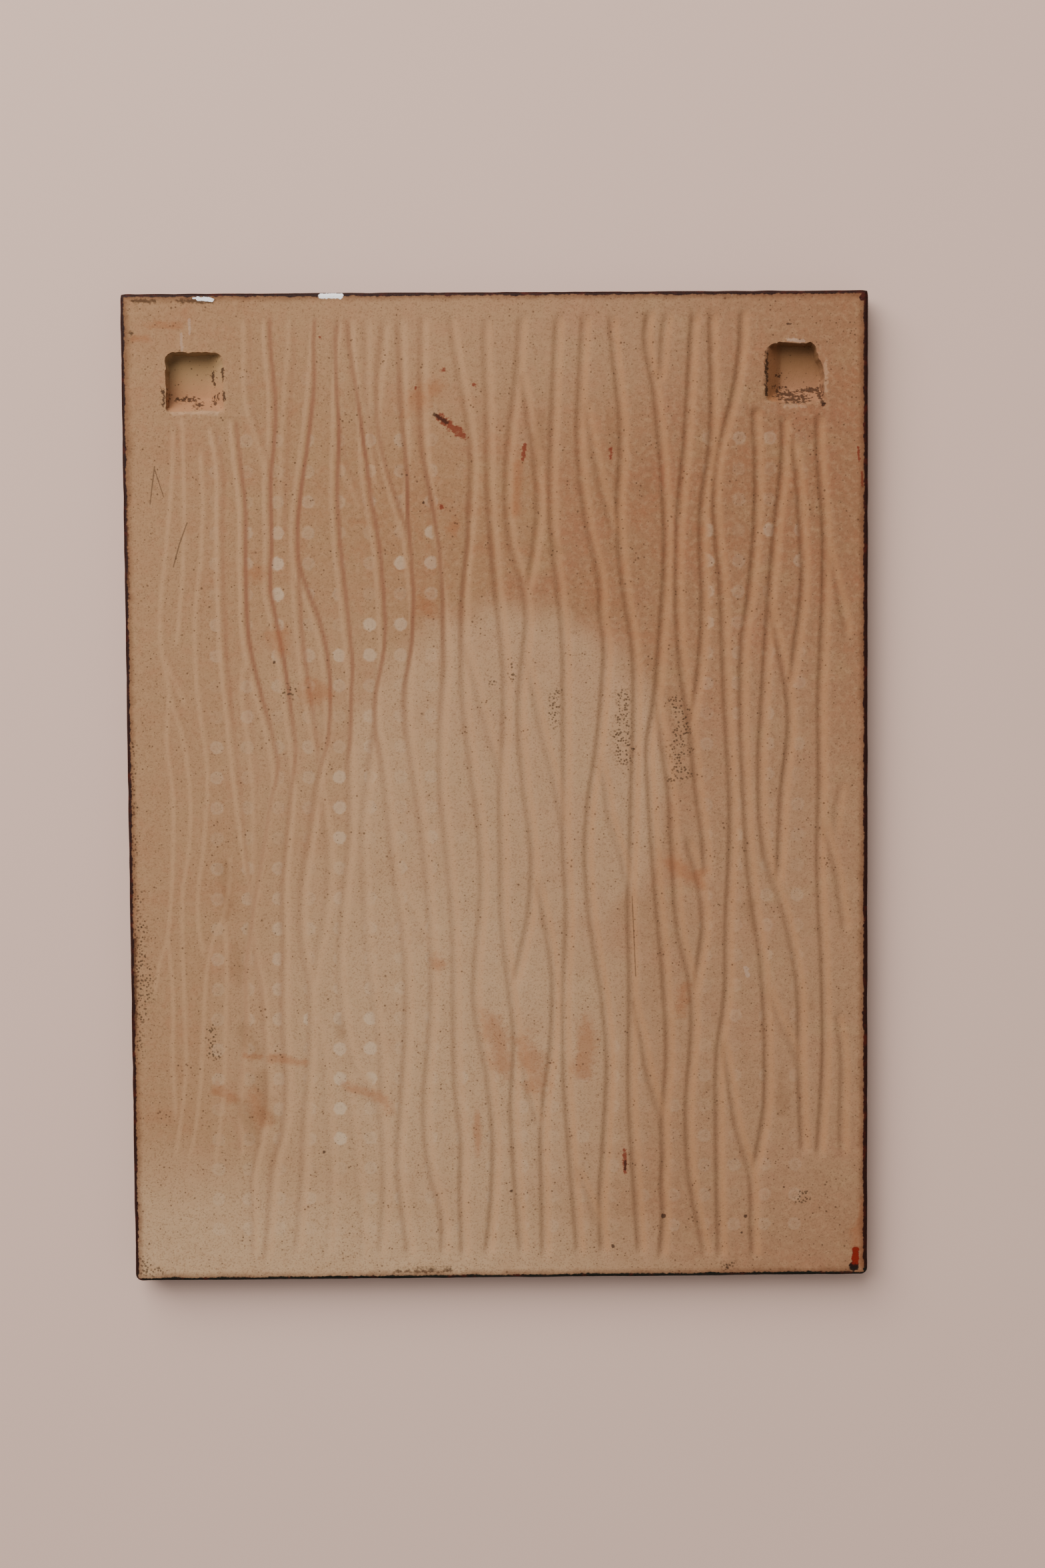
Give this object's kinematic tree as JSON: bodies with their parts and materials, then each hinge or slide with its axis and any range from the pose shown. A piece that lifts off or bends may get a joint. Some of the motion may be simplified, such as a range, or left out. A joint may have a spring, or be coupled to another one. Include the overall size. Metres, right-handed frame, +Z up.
{
  "type": "ceramic wall tile",
  "caption": "Large rectangular fired clay wall tile with a glazed face and rolled edges, a bare grooved back and sunk sockets in the back for hanging on hooks.",
  "frame": {"origin": "on the floor, under the middle of the tile, which lies face down", "axes": "+Y towards the edge that hangs uppermost, along the tile's length; +X to the right as seen from the back; +Z up, out of the bare back"},
  "size_m": [0.3, 0.4, 0.015],
  "materials": {
    "fired_clay": "matte"
  },
  "bodies": {
    "root": {"wall_tile": "fired_clay"}
  },
  "joints": []
}
